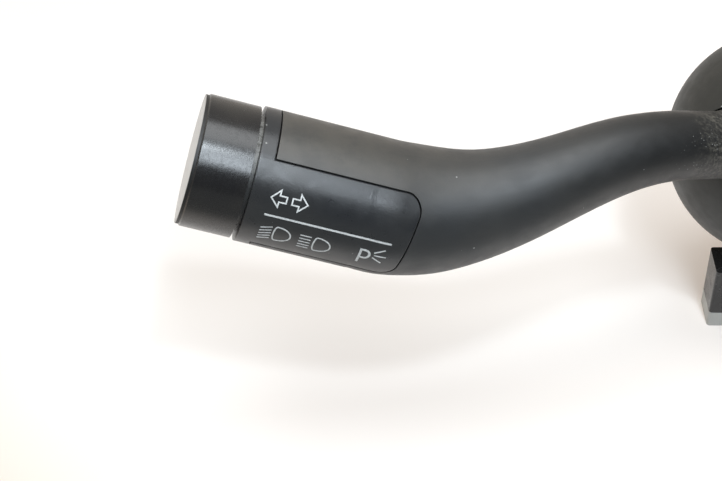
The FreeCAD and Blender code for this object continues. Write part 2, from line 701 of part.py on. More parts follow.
def connector_shroud(x0, x1, y0, y1, top, seat, neck, wall):
    """Plug shroud that stands on the table with its mouth down, and a neck that seats in its hole."""
    shroud = box(x0, x1, y0, y1, STAND_Z, seat)
    shroud = round_edges(shroud, 0.8, lambda e: along(e, Vector(0, 0, 1)))
    inset = box(x0 + neck, x1 - neck, y0 + neck, y1 - neck, seat - 0.5, top)
    mouth = box(x0 + neck + wall, x1 - neck - wall, y0 + neck + wall, y1 - neck - wall,
                STAND_Z - 1, top - 1.2)
    return shroud.fuse(inset).cut(mouth)


def switch_connector():
    shroud = connector_shroud(LEG_LEFT, LEG_LEFT + LEG_PLUG, LEG_FRONT, LEG_FRONT + LEG_DEPTH,
                              CASE_BOTTOM + 4.6, CASE_BOTTOM - MICRO, LEG_WALL + MICRO, 0.8)
    y = LEG_FRONT + LEG_DEPTH / 2
    half = TERMINAL / 2 + MICRO
    for i in range(TERMINALS):
        x = LEG_LEFT + 4.2 + i * TERMINAL_PITCH
        shroud = shroud.cut(box(x - half, x + half, y - half, y + half, STAND_Z, CASE_BOTTOM + 6))
    return shroud


def beam_switch():
    """Press switch behind the lever's tail, worked by pushing the stalk forward."""
    x = PIVOT.x + TAIL_END - 5
    rear = CASE_REAR - CASE_WALL - MICRO
    body = box(x - 1, x + 5.5, rear - 3.6, rear, -4, 4)
    nub = box(x + 0.5, x + 2.5, rear - 4.6, rear - 3.6, -1.5, 1.5)
    return body.fuse(nub)


# Cancel pawl

def pawl_tip():
    return polar(PAWL_TIP_R, PAWL_ANGLE)


def cancel_pawl():
    y0, y1 = PAWL_FRONT, PAWL_FRONT + PAWL_THICK
    tip = pawl_tip()
    reach = tip - PAWL_PIVOT
    side = Vector(-reach.z, 0, reach.x).normalize()
    hub = disc(PAWL_HUB_R, y0, y1 + 3.0, PAWL_PIVOT.x, PAWL_PIVOT.z)
    corners = [PAWL_PIVOT + side * 2.6, PAWL_PIVOT - side * 2.6, tip - side * PAWL_ROUND, tip + side * PAWL_ROUND]
    blade = prism([(c.x, c.z) for c in corners], y0, y1)
    nose = disc(PAWL_ROUND, y0, y1, tip.x, tip.z)
    body = union([hub, blade, nose])
    return body.cut(disc(PAWL_PIN_R + RUN, y0 - 1, y1 + 4, PAWL_PIVOT.x, PAWL_PIVOT.z))


def pawl_pin():
    return disc(PAWL_PIN_R, CASE_FRONT_RIGHT + CASE_WALL / 2 + MICRO, PAWL_FRONT + PAWL_THICK + 5.5,
                PAWL_PIVOT.x, PAWL_PIVOT.z)


def pawl_spring():
    """Leaf spring from the case's top wall to the side of the pawl's hub."""
    top = CASE_TOP - CASE_WALL - MICRO
    hub = PAWL_PIVOT + Vector(-PAWL_HUB_R - LEAF - MICRO, 0, 0)
    start = hub.x - 4.0
    outline = [
        (start, top), (start + 4, top), (start + 4, top - LEAF), (start + LEAF, top - LEAF),
        (hub.x + LEAF, hub.z + 0.4), (hub.x + LEAF, hub.z - 1.2), (hub.x, hub.z - 1.2), (hub.x, hub.z + 0.4),
    ]
    return prism(outline, PAWL_FRONT + PAWL_THICK + 0.4, PAWL_FRONT + PAWL_THICK + 2.6)


# Clock spring cassette

def ring_lug(angle, y0, y1):
    lug = disc(LUG_SIZE, y0, y1, LUG_R, 0)
    web = box(SPRING_R - 1, LUG_R, y0, y1, -LUG_SIZE, LUG_SIZE)
    body = lug.fuse(web)
    body.rotate(Vector(0, 0, 0), Vector(0, -1, 0), angle)
    return body


def gear_place(angle, teeth):
    return polar((RING_TEETH + teeth) * MODULE / 2, angle)


def gear_angles():
    span = PITCHES_APART * 360.0 / RING_TEETH
    return 90.0 + span / 2, 90.0 - span / 2


def turned(shape, angle):
    """The shape turned about the column axis, from X towards Z."""
    moved = shape.copy()
    moved.rotate(Vector(0, 0, 0), Vector(0, -1, 0), angle)
    return moved


def snap_angles():
    return [360.0 / SNAPS * (i + 0.5) for i in range(SNAPS)]


def spring_base():
    front = SPRING_FRONT + COVER_THICK + MICRO
    wall = ring(SPRING_R, SPRING_R - SPRING_WALL, front, SPRING_BACK - MICRO)
    floor = ring(SPRING_R - 1, SLEEVE_OUT + RUN, FLOOR_FRONT, FLOOR_BACK)
    foot = box(-TOWER_HALF, TOWER_HALF, TOWER_FRONT, SPRING_BACK - MICRO, STAND_Z, 2 * FOOT_DROP - SPRING_R)
    foot = round_edges(foot, 1.0, lambda e: along(e, Vector(0, 1, 0)) and e.BoundBox.ZMax < STAND_Z + 1)
    foot = foot.cut(disc(SPRING_R - 1, SPRING_FRONT, 0))
    parts = [wall, floor, foot]
    for angle in LUG_ANGLES:
        parts.append(ring_lug(angle, SPRING_BACK - LUG_THICK, SPRING_BACK - MICRO))
    snap = box(SPRING_R - 0.5, SPRING_R + SNAP_PROUD, SKIRT_FRONT + 3.2, SKIRT_FRONT + 4.8, -SNAP_HALF, SNAP_HALF)
    parts += [turned(snap, a) for a in snap_angles()]
    for angle, teeth in zip(gear_angles(), (GEAR_A_TEETH, GEAR_B_TEETH)):
        place = gear_place(angle, teeth)
        parts.append(disc(GEAR_PIN_R, FLOOR_BACK - 0.5, GEAR_FRONT + GEAR_THICK + 0.2, place.x, place.z))
        parts.append(disc(GEAR_PIN_R + 1.2, FLOOR_BACK - 0.5, GEAR_FRONT - FREE, place.x, place.z))
    anchor = box(CABLE_OUTER + ANCHOR_SET, SPRING_R - 1, CABLE_FRONT + ANCHOR_SET, FLOOR_FRONT + 1, -4.5, -0.8)
    parts.append(anchor)
    base = union(parts)
    bore = disc(SPRING_R - SPRING_WALL, FLOOR_BACK, 0)
    for angle in LUG_ANGLES:
        base = base.cut(turned(disc(SCREW_R + MICRO, -60, 0, LUG_R, 0), angle))
        base = base.cut(turned(box(SPRING_R - SPRING_WALL - 20, SPRING_R - SPRING_WALL - 0.01,
                                   FLOOR_BACK + 0.01, 0, -6, 6).common(bore), angle))
    return base


def spring_cover():
    plate = ring(SKIRT_R, COVER_OPEN_R, SPRING_FRONT, SPRING_FRONT + COVER_THICK)
    front = [e for e in plate.Edges if e.BoundBox.YMax < SPRING_FRONT + 0.01]
    plate = plate.makeChamfer(0.8, front)
    skirt = ring(SKIRT_R, SPRING_R + SKIRT_GAP, SPRING_FRONT + COVER_THICK - 0.1, SKIRT_BACK)
    cover = plate.fuse(skirt)
    half = SNAP_HALF + FREE + MICRO
    window = box(SPRING_R, SKIRT_R + OVER, SKIRT_FRONT + 2.9, SKIRT_FRONT + 5.1, -half, half)
    for angle in snap_angles():
        cover = cover.cut(turned(window, angle))
    return cover


def rotor_hub():
    back = ROTOR_FRONT + ROTOR_THICK
    sleeve = ring(SLEEVE_OUT, SLEEVE_IN, ROTOR_FRONT, SLEEVE_BACK)
    plate = ring(ROTOR_R, SLEEVE_IN, ROTOR_FRONT, back)
    rim = [e for e in plate.Edges if e.BoundBox.YMax < ROTOR_FRONT + MICRO and e.BoundBox.XMax > SLEEVE_OUT]
    plate = plate.makeChamfer(0.6, rim)
    rib = ring(SLEEVE_IN + 1.5, SLEEVE_IN, ROTOR_FRONT - 3.0, ROTOR_FRONT + 0.5)
    parts = [sleeve, plate, rib]
    for angle in (0, 180):
        peg = polar(PEG_PCD / 2, angle)
        parts.append(disc(PEG_R, ROTOR_FRONT - PEG_LENGTH, ROTOR_FRONT + 0.5, peg.x, peg.z))
        parts.append(disc(PEG_R + 1.4, ROTOR_FRONT - 1.2, ROTOR_FRONT + 0.5, peg.x, peg.z))
    anchor = box(SLEEVE_OUT - ANCHOR_SET, CABLE_INNER - CABLE_THICK, CABLE_FRONT + ANCHOR_SET,
                 FLOOR_FRONT - CABLE_THICK - 2 * MICRO, 0.6, 3.4)
    parts.append(anchor)
    return union(parts)


def squib_sockets():
    body = box(-SQUIB_HALF, SQUIB_HALF, ROTOR_FRONT - SOCKET_DEPTH, ROTOR_FRONT - MICRO, SQUIB_LOW, SQUIB_HIGH)
    body = round_edges(body, 1.5, lambda e: along(e, Vector(0, 1, 0)))
    z = (SQUIB_LOW + SQUIB_HIGH) / 2
    for x in (-SQUIB_HALF / 2, SQUIB_HALF / 2):
        body = body.cut(disc(3.3, ROTOR_FRONT - SOCKET_DEPTH - 1, ROTOR_FRONT - 1.5, x, z))
        for dx in (-1.3, 1.3):
            body = body.fuse(disc(0.5, ROTOR_FRONT - 3.8, ROTOR_FRONT - 1, x + dx, z))
    return body


def wheel_socket():
    depth = ROTOR_FRONT - SOCKET_DEPTH
    body = box(-HORN_HALF, HORN_HALF, depth, ROTOR_FRONT - MICRO, -SQUIB_HIGH, -SQUIB_LOW)
    body = round_edges(body, 1.0, lambda e: along(e, Vector(0, 1, 0)))
    body = body.cut(box(-HORN_HALF + 1.2, HORN_HALF - 1.2, depth - 1, ROTOR_FRONT - 1.5,
                        -SQUIB_HIGH + 1.2, -SQUIB_LOW - 1.2))
    z = -(SQUIB_LOW + SQUIB_HIGH) / 2
    for i in range(6):
        x = (i - 2.5) * 3.4
        body = body.fuse(box(x - 0.35, x + 0.35, depth + PIN_SET, ROTOR_FRONT - 1, z - 0.35, z + 0.35))
    return body


def spiral_edges(start):
    """A flat spiral of half circles about two centres, from a start radius."""
    step = (CABLE_OUTER - CABLE_INNER) / (2 * CABLE_TURNS)
    edges = []
    for k in range(2 * CABLE_TURNS):
        radius = start + k * step
        centre = Vector(step if k % 2 else 0, CABLE_FRONT, 0)
        side = -1 if k % 2 else 1
        points = [centre + Vector(side * radius, 0, 0), centre + Vector(0, 0, side * radius),
                  centre - Vector(side * radius, 0, 0)]
        edges.append(Part.Arc(*points).toShape())
    return edges


def ribbon_cable():
    inner = spiral_edges(CABLE_INNER)
    outer = spiral_edges(CABLE_INNER + CABLE_THICK)
    first = Part.makeLine(inner[0].Vertexes[0].Point, outer[0].Vertexes[0].Point)
    last = Part.makeLine(outer[-1].Vertexes[-1].Point, inner[-1].Vertexes[-1].Point)
    wire = Part.Wire(Part.__sortEdges__(inner + [last] + outer + [first]))
    return Part.Face(wire).extrude(Vector(0, CABLE_WIDTH, 0))


def glide_sheets():
    inner, outer = CABLE_INNER - CABLE_THICK, CABLE_OUTER + MICRO
    start = SPRING_FRONT + COVER_THICK
    front = ring(outer, inner, start + MICRO, start + CABLE_THICK)
    back = ring(outer, inner, FLOOR_FRONT - CABLE_THICK, FLOOR_FRONT - MICRO)
    return front, back


# Angle sensor

def involute_flank(base_r, radius):
    """Distance along the involute of the base circle: the flank's own angle at a radius."""
    if radius <= base_r:
        return 0.0
    a = math.acos(base_r / radius)
    return math.tan(a) - a


def gear_outline(teeth, tooth_angle, addendum, dedendum):
    """Involute gear outline as (x, z) points, with a tooth centred on tooth_angle."""
    pitch_r = teeth * MODULE / 2
    base_r = pitch_r * math.cos(math.radians(PRESSURE))
    tip_r = pitch_r + addendum * MODULE
    root_r = pitch_r - dedendum * MODULE
    half = (math.pi * MODULE / 2 - BACKLASH) / (2 * pitch_r) + involute_flank(base_r, pitch_r)
    low = max(root_r, base_r)
    radii = [low + (tip_r - low) * i / FLANK_STEPS for i in range(FLANK_STEPS + 1)]
    if root_r < base_r:
        radii = [root_r] + radii
    flank = [(r, half - involute_flank(base_r, r)) for r in radii]
    points = []
    for k in range(teeth):
        centre = math.radians(tooth_angle) + 2 * math.pi * k / teeth
        for r, a in flank:
            points.append((r * math.cos(centre - a), r * math.sin(centre - a)))
        for r, a in reversed(flank):
            points.append((r * math.cos(centre + a), r * math.sin(centre + a)))
    return points


def angle_ring():
    teeth = prism(gear_outline(RING_TEETH, gear_angles()[0], RING_ADDENDUM, 1.25),
                  GEAR_FRONT, GEAR_FRONT + GEAR_THICK)
    return teeth.cut(disc(SLEEVE_OUT + MICRO, -60, 0))


def measuring_gear(angle, teeth):
    place = gear_place(angle, teeth)
    gap = angle + 180 + 180.0 / teeth
    gear = prism(gear_outline(teeth, gap, 0.9, 1.2), GEAR_FRONT, GEAR_FRONT + GEAR_THICK)
    gear = gear.cut(disc(GEAR_PIN_R + RUN, -60, 0))
    recess = ring(4.2, 2.6, GEAR_FRONT + GEAR_THICK - 0.6, GEAR_FRONT + GEAR_THICK + 1)
    gear = gear.cut(recess)
    gear.translate(place)
    return gear


def sensor_board():
    y0 = GEAR_FRONT + GEAR_THICK + 0.7
    sector = ring(41.6, 28.5, y0, y0 + 1.2).common(box(-50, 50, -60, 0, 18, 60))
    chips = []
    for angle, teeth in zip(gear_angles(), (GEAR_A_TEETH, GEAR_B_TEETH)):
        place = gear_place(angle, teeth)
        chips.append(box(place.x - 1.6, place.x + 1.6, y0 - 0.3, y0 + 0.1, place.z - 1.6, place.z + 1.6))
    return union([sector] + chips)


# Cancel cam

def cancel_cam():
    drum = disc(CAM_R, SLEEVE_BACK + MICRO, CAM_BACK)
    lobe_r = 3.4
    lobes = []
    for angle in (PAWL_ANGLE + 90, PAWL_ANGLE - 90):
        top = polar(CAM_LOBE - lobe_r, angle)
        lobes.append(disc(lobe_r, CAM_FRONT, CAM_BACK, top.x, top.z))
    return union([drum] + lobes).cut(disc(SLEEVE_IN, -60, 0))


# Carrier

def rounded_plate(y0, y1, inset):
    """The carrier's outline as a block, drawn in by inset, with round outer corners."""
    left, right = CARRIER_LEFT + inset, CARRIER_RIGHT - inset
    top, bottom = CARRIER_TOP - inset, CARRIER_BOTTOM + inset
    body = box(left, right, y0, y1, bottom, top)
    ear = box(CARRIER_EAR + inset, left + 10, y0, y1, EAR_BOTTOM + inset, top)
    body = body.fuse(ear).removeSplitter()
    def corner(e):
        x, z = e.BoundBox.XMin, e.BoundBox.ZMin
        outer = x > right - 0.1 or x < CARRIER_EAR + inset + 0.1 or z < bottom + 0.1
        return along(e, Vector(0, 1, 0)) and outer
    return round_edges(body, CORNER - inset, corner)


def carrier():
    plate = rounded_plate(PLATE_FRONT, PLATE_BACK, 0)
    band = rounded_plate(PLATE_BACK - 0.5, RIM_BACK, 0).cut(rounded_plate(PLATE_BACK - 1, 0, CARRIER_WALL))
    band = band.cut(box(-60, -24, -50, 0, -60, 24)).cut(box(-60, -27, PLATE_BACK, 0, 0, CARRIER_TOP - 4))
    band = band.cut(right_of(BOX_LEFT - MICRO))
    collar = disc(COLLAR_R, PLATE_BACK - 0.5, 0)
    posts = [disc(LUG_SIZE, PLATE_BACK - 0.5, PLATE_BACK + POST_LENGTH, p.x, p.z) for p in lug_places()]
    gusset = box(COLLAR_R - 1, COLLAR_R + GUSSET_REACH, PLATE_BACK - 0.5, PLATE_BACK + POST_LENGTH,
                 -GUSSET_HALF, GUSSET_HALF)
    gussets = [turned(gusset, a) for a in GUSSET_ANGLES]
    body = union([plate, band, collar] + posts + gussets)
    body = body.cut(disc(COUNTER_R, PLATE_FRONT - 1, COLLAR_FRONT)).cut(disc(COLUMN_R, -FAR, OVER))
    slot = box(COLUMN_R - 3, COLLAR_R + 1, PLATE_BACK, PAWL_FRONT + PAWL_THICK + 0.8, -PAWL_SLOT, PAWL_SLOT)
    body = body.cut(turned(slot, PAWL_ANGLE))
    for angle in SLIT_ANGLES:
        body = body.cut(turned(box(COLUMN_R - 2, COLLAR_R + 1, BAND_FRONT - 3, 1, -0.8, 0.8), angle))
    for place in lug_places():
        body = body.cut(disc(PILOT_R, PLATE_FRONT - OVER, PLATE_BACK + POST_LENGTH - OVER, place.x, place.z))
    body = body.cut(disc(SCREW_R + MICRO, -FAR, 0, TAB_X, TAB_Z))
    return body.cut(disc(SCREW_R + MICRO, -FAR, 0, LID_TAB_X, LID_TAB_Z))


def right_of(x):
    return box(x, FAR, -FAR, FAR, -FAR, FAR)


def lug_places():
    return [polar(LUG_R, angle) for angle in LUG_ANGLES]


def control_box():
    """The control unit's tray on the carrier's rear face, notched round the screw posts."""
    front = PLATE_BACK + MICRO
    tray = rounded_plate(front, BOX_BACK, 0).common(right_of(BOX_LEFT))
    hollow = rounded_plate(front + BOX_FLOOR, 0, CARRIER_WALL).common(right_of(BOX_LEFT + CARRIER_WALL))
    bosses = [disc(BOSS_R, front + OVER, BOARD_FRONT - MICRO, x, z)
              for x in (BOX_LEFT + 6, CARRIER_RIGHT - 6) for z in (CARRIER_BOTTOM + 16, CARRIER_TOP - 7)]
    tray = tray.cut(hollow).fuse(bosses)
    for place in lug_places():
        tray = tray.cut(disc(LUG_SIZE + MICRO, front - OVER, PLATE_BACK + POST_LENGTH + MICRO, place.x, place.z))
    hole = box(PLUG_LEFT + PLUG_NECK - MICRO, PLUG_RIGHT - PLUG_NECK + MICRO, PLUG_FRONT + PLUG_NECK - MICRO,
               PLUG_BACK - PLUG_NECK + MICRO, -FAR, CARRIER_BOTTOM + 5)
    return tray.cut(hole)


def clamp_band():
    inner = COLLAR_R + BAND_GAP
    band = ring(inner + BAND_THICK, inner, BAND_FRONT, BAND_BACK)
    gap = box(-2, 2, -20, 0, 20, 60)
    ears = []
    for side in (-1, 1):
        x0, x1 = sorted((side * 2, side * (2 + BAND_THICK)))
        ears.append(box(x0, x1, BAND_FRONT, BAND_BACK, inner, inner + 11))
    body = union([band.cut(gap)] + ears)
    z = inner + 6.5
    y = (BAND_FRONT + BAND_BACK) / 2
    return body.cut(rod(CLAMP_R + MICRO, Vector(-9, y, z), Vector(9, y, z)))


def clamp_screw():
    z = COLLAR_R + BAND_GAP + 6.5
    y = (BAND_FRONT + BAND_BACK) / 2
    edge = 2 + BAND_THICK + MICRO
    shank = rod(CLAMP_R, Vector(-edge - 5, y, z), Vector(edge + 1, y, z))
    head = rod(3.4, Vector(edge, y, z), Vector(edge + 3.2, y, z))
    nut = rod(3.4, Vector(-edge - 3.2, y, z), Vector(-edge, y, z))
    recess = rod(1.5, Vector(edge + 1.4, y, z), Vector(edge + 5, y, z))
    return union([shank, head, nut]).cut(recess)


def screw(x, z, head_face, tip, radius):
    """A cheese head screw that points along Y, its head's underside at head_face."""
    way = 1 if tip > head_face else -1
    top = head_face - way * radius * 1.2
    shank = disc(radius, head_face - way * 0.5, tip, x, z)
    head = disc(radius * 1.9, top, head_face, x, z)
    slot = disc(radius * 0.7, top - way, top + way * 0.9, x, z)
    return head.fuse(shank).cut(slot)


def main_board():
    board = box(BOX_LEFT + CARRIER_WALL + 0.6, CARRIER_RIGHT - CARRIER_WALL - 0.6,
                BOARD_FRONT, BOARD_FRONT + BOARD_THICK, CARRIER_BOTTOM + 10, CARRIER_TOP - CARRIER_WALL - 1)
    board = round_edges(board, 3.0, lambda e: along(e, Vector(0, 1, 0)))
    back = BOARD_FRONT + BOARD_THICK
    x = BOX_LEFT
    parts = [
        board,
        box(x + 10, x + 21, back - 0.1, back + 1.6, 4, 15),
        box(x + 7, x + 12, back - 0.1, back + 2.4, 22, 34),
        box(x + 16, x + 24, back - 0.1, back + 1.2, 24, 30),
        box(x + 8, x + 13, back - 0.1, back + 1.4, -18, -13),
        disc(3.2, back - 0.1, back + 8, x + 21, -8),
    ]
    return union(parts)


def main_connector():
    body = connector_shroud(PLUG_LEFT, PLUG_RIGHT, PLUG_FRONT, PLUG_BACK,
                            CARRIER_BOTTOM + 6.5, CARRIER_BOTTOM - MICRO, PLUG_NECK, PLUG_NECK)
    for x, y in main_pin_places():
        body = body.cut(blade(0.4 + MICRO, STAND_Z, CARRIER_BOTTOM + 8, x, y))
    return body


def blade(half, z0, z1, x, y):
    """An upright square pin."""
    return box(x - half, x + half, y - half, y + half, z0, z1)


def main_pin_places():
    middle = (PLUG_LEFT + PLUG_RIGHT) / 2
    return [(middle + (i - 2.5) * 2.8, y) for i in range(6) for y in (PLUG_FRONT + 6.0, PLUG_BACK - 6.0)]


def main_pins():
    return [blade(0.4, STAND_Z + PIN_SET + 0.2, CARRIER_BOTTOM + 9.6, x, y) for x, y in main_pin_places()]


def rear_cover():
    plate = rounded_plate(BOX_BACK + MICRO, BOX_BACK + 2.0, 0).common(right_of(BOX_LEFT))
    rim = rounded_plate(BOX_BACK - 2.5, BOX_BACK + 1.0, CARRIER_WALL + MICRO)
    rim = rim.common(right_of(BOX_LEFT + CARRIER_WALL + MICRO))
    core = rounded_plate(BOX_BACK - 4, BOX_BACK + MICRO, CARRIER_WALL + 1.6)
    core = core.common(right_of(BOX_LEFT + CARRIER_WALL + 1.6))
    ribs = [box(BOX_LEFT + 5, CARRIER_RIGHT - 5, BOX_BACK + 1.5, BOX_BACK + 2.8, z, z + 1.2)
            for z in (-22, -12, -2, 8, 18, 28)]
    return union([plate, rim.cut(core)] + ribs)


def main():
    os.makedirs(OUT, exist_ok=True)
    outer = arm_outer()
    save("stalk_arm", stalk_arm(outer))
    save("legend_sleeve", legend_sleeve(outer))
    save("end_button", end_button())
    save("end_disc", end_disc())
    save("button_guide", button_guide())
    save("button_spring", button_spring())
    tact, board = tact_switch()
    save("tact_switch", tact)
    save("button_board", board)
    save("ball_shield", ball_shield())
    save("lever_root", lever_root())
    save("beam_pin", beam_pin())
    save("yoke", yoke())
    save("detent_plunger", detent_plunger())
    save("detent_spring", detent_spring())
    save("detent_track", detent_track())
    save("switch_case", switch_case())
    save("switch_lid", switch_lid())
    save("contact_board", contact_board())
    save("contact_slider", contact_slider())
    save("slider_rails", slider_rails())
    save("switch_terminals", *terminals())
    save("switch_connector", switch_connector())
    save("beam_switch", beam_switch())
    save("cancel_pawl", cancel_pawl())
    save("pawl_pin", pawl_pin())
    save("pawl_spring", pawl_spring())
    save("cancel_cam", cancel_cam())
    save("rotor_hub", rotor_hub())
    save("squib_sockets", squib_sockets())
    save("wheel_socket", wheel_socket())
    save("ribbon_cable", ribbon_cable())
    front, back = glide_sheets()
    save("glide_front", front)
    save("glide_back", back)
    save("spring_base", spring_base())
    save("spring_cover", spring_cover())
    save("angle_ring", angle_ring())
    first, second = gear_angles()
    save("measuring_gear_a", measuring_gear(first, GEAR_A_TEETH))
    save("measuring_gear_b", measuring_gear(second, GEAR_B_TEETH))
    save("sensor_board", sensor_board())
    save("carrier", carrier())
    save("control_box", control_box())
    save("clamp_band", clamp_band())
    save("clamp_screw", clamp_screw())
    save("main_board", main_board())
    save("main_connector", main_connector())
    save("main_pins", *main_pins())
    save("rear_cover", rear_cover())
    fixings = []
    for place in lug_places():
        fixings.append(screw(place.x, place.z, SPRING_BACK - LUG_THICK, PLATE_BACK + POST_LENGTH - 2 * OVER,
                             PILOT_R - MICRO))
    fixings.append(screw(TAB_X, TAB_Z, PLATE_BACK + TAB_THICK + 2 * MICRO, PLATE_FRONT + 0.3, SCREW_R))
    fixings.append(screw(LID_TAB_X, LID_TAB_Z, PLATE_BACK + TAB_THICK + 2 * MICRO, PLATE_FRONT + 0.3, SCREW_R))
    save("carrier_screws", *fixings)


main()
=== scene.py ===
import json
import math

import bpy
import bmesh
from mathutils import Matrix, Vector
from mathutils.bvhtree import BVHTree


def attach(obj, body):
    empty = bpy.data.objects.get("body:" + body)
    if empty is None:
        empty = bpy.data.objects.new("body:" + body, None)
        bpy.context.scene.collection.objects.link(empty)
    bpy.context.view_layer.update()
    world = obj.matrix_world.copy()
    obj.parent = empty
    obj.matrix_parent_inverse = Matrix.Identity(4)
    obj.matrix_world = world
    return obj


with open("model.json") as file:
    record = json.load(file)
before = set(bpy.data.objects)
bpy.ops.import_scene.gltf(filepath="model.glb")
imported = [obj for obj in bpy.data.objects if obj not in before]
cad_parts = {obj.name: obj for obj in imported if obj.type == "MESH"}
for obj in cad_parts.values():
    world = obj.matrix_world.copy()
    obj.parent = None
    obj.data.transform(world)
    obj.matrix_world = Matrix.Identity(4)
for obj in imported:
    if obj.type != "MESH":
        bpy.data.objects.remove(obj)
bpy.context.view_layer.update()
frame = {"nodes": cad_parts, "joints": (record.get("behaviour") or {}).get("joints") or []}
NODES = frame["nodes"]
MM = 0.001

# Camera: a short telephoto in front of the stalk, looking 41 degrees down

CAMERA_PLACE = (-0.1774, -0.3293, 0.2334)
CAMERA_TILT = 49.0
CAMERA_LENS = 80.776
CAMERA_SENSOR = 36.0
CAMERA_CLIP = (0.01, 50.0)

# Lamps: target, azimuth, elevation, distance, width, height, brightness and colour. A bluish window and
# a small lamp light the grip from the front right, and a softer panel hangs overhead.

LAMPS = {
    "window": ((-0.213, -0.065, 0.026), 20.5, 51.0, 0.8, 0.19, 0.48, 12.5, (0.83, 0.92, 1.0)),
    "lamp": ((-0.13, -0.02, 0.0), 13.0, 62.0, 0.8, 0.07, 0.07, 85.0, (0.86, 0.94, 1.0)),
    "overhead": ((-0.18, -0.04, 0.0), 10.0, 88.5, 0.6, 0.60, 0.34, 3.8, (0.95, 0.98, 1.0)),
}

# Room: dark in front, warm behind and dimmer to the right. The camera itself sees it pale.

ROOM_FRONT = (0.12, 0.12, 0.125)
ROOM_BACK = (0.84, 0.78, 0.70)
ROOM_SEEN = (0.93, 0.92, 0.90)
ROOM_TURN = (-0.75, 0.55)                  # a direction's Y, where the front ends and the back starts
ROOM_SIDE = (-0.1, 0.55)                   # a direction's X, where the dimming starts and ends
ROOM_RIGHT = 0.4                           # what is left of the light at the right

# Floor: plain and pale, with painted shade in front of the picture, where the room is dark, and the camera
# sees that part pale as well. A painted shadow darkens the front left, and a glow paints light over the
# object's shadows near the module and in front.

FLOOR_Z = -0.046
FLOOR_SIZE = 6.0
FLOOR_TONES = ((0.81, 0.80, 0.79), (0.79, 0.78, 0.77))
# The glow's warm colour paints the floor's shadows cream.
FLOOR_GLOW_AND_SHADOW_TINT = (1.0, 0.78, 0.62)
FLOOR_GLOW_AND_PAINTED_LIGHT_BY_X = (-0.13, -0.03, 0.15, 0.37)   # from X, to X, and the glow at each; the rise paints light over the object's shadow near the module
FLOOR_PAINTED_LIGHT_BY_Y = (-0.04, -0.07, 0.0, 0.07)    # the same along Y, added to it, painting light over a lamp's shadow in front
# Painted shade: the floor is dark in front, standing in for the dark room there.
FLOOR_PAINTED_SHADE = (0.24, 0.235, 0.22)
FLOOR_PAINTED_SHADE_ENDS = (-0.15, -0.095)          # Y, where the painted shade is whole and where it has gone
# The pale glow and lift with which only the camera sees the painted shade as pale floor.
FLOOR_PAINTED_SHADE_CAMERA_GLOW = (1.0, 0.98, 0.95)
FLOOR_PAINTED_SHADE_CAMERA_LIFT = 0.70
FLOOR_PAINTED_SHADOW_CORNER = (-0.285, -0.09, FLOOR_Z)    # the front left, where a painted shadow makes the floor duller too
FLOOR_PAINTED_SHADOW_WAY = (-0.75, -0.66, 0.0)
FLOOR_PAINTED_SHADOW_ENDS = (-0.075, 0.010)        # where the painted shadow starts and is whole, along that way
# The painted shadow's tone.
FLOOR_PAINTED_SHADOW_TONE = (0.56, 0.49, 0.43)

# Grip: s runs inwards from the button's outer end, and the angle from the front up round the grip

GRIP_RADIUS = 14.4 * MM
LEGEND_TURN = math.radians(10.0)
SLEEVE_START = 12.95 * MM
DISC_FACE = 0.30 * MM                      # how far in from the outer end the silver reaches

# Dust and painted shade: X of the ends along the arm of the upper side's dust and painted sheen, of the
# root's painted shade and of its dust film, and the line of white crumbs that crosses the arm's root

# The upper side's dust and painted sheen.
UPPER_DUST_AND_SHEEN_ENDS = (-0.185, -0.138)
# The root's painted shade.
ROOT_PAINTED_SHADE_ENDS = (-0.150, -0.106)
FILM_ENDS = (-0.0990, -0.0915)
CRUMB_ENDS = (-0.1150, -0.1040)
CRUMB_LINE = (-0.0932, -0.0262, 0.0058)
CRUMB_ACROSS = (0.57, -0.54, -0.62)        # square to that line, down and to the right

# Printed symbols, in millimetres along the grip and round it: line widths, and the print's height

OUTLINE = 0.30
RULE = 0.44
BEAM = 0.24
LETTER = 0.50
PRINT_STEP = 0.45
PRINT_LIFT = 0.035 * MM
PRINT_SINK = 0.05 * MM
SHARPEST_MITRE = 0.35


def grip_axes():
    """The grip's outer end, and its directions inwards, to the front and up."""
    press = [j for j in frame["joints"] if j["name"] == "button_press"][0]
    inward = Vector(press["axis"]).normalized()
    points = [v.co for v in NODES["end_disc"].data.vertices]
    centre = sum(points, Vector()) / len(points)
    lowest = min((p - centre).dot(inward) for p in points)
    front = Vector((0.0, -1.0, 0.0))
    front = (front - inward * front.dot(inward)).normalized()
    return centre + inward * lowest, inward, front, front.cross(inward)


def add_object(name, data):
    made = bpy.data.objects.new(name, data)
    bpy.context.scene.collection.objects.link(made)
    return made


def add_mesh(name, mesh):
    """An object from a finished bmesh."""
    data = bpy.data.meshes.new(name)
    mesh.to_mesh(data)
    mesh.free()
    return add_object(name, data)


def make_camera():
    data = bpy.data.cameras.new("camera")
    data.sensor_fit = "HORIZONTAL"
    data.sensor_width = CAMERA_SENSOR
    data.lens = CAMERA_LENS
    data.clip_start, data.clip_end = CAMERA_CLIP
    camera = add_object("camera", data)
    camera.location = CAMERA_PLACE
    camera.rotation_euler = (math.radians(CAMERA_TILT), 0.0, 0.0)
    bpy.context.scene.camera = camera


def make_lamp(name, target, azimuth, elevation, distance, width, height, brightness, colour):
    """A soft rectangular lamp that looks at the target. Azimuth 0 is the front, towards -Y, and 90 the
    right."""
    data = bpy.data.lights.new(name, "AREA")
    data.shape = "RECTANGLE"
    data.size = width
    data.size_y = height
    data.energy = brightness * math.pi * width * height
    data.color = colour
    a, e = math.radians(azimuth), math.radians(elevation)
    out = Vector((math.sin(a) * math.cos(e), -math.cos(a) * math.cos(e), math.sin(e)))
    lamp = add_object(name, data)
    lamp.location = Vector(target) + out * distance
    lamp.rotation_mode = "QUATERNION"
    lamp.rotation_quaternion = (-out).to_track_quat("-Z", "Y")


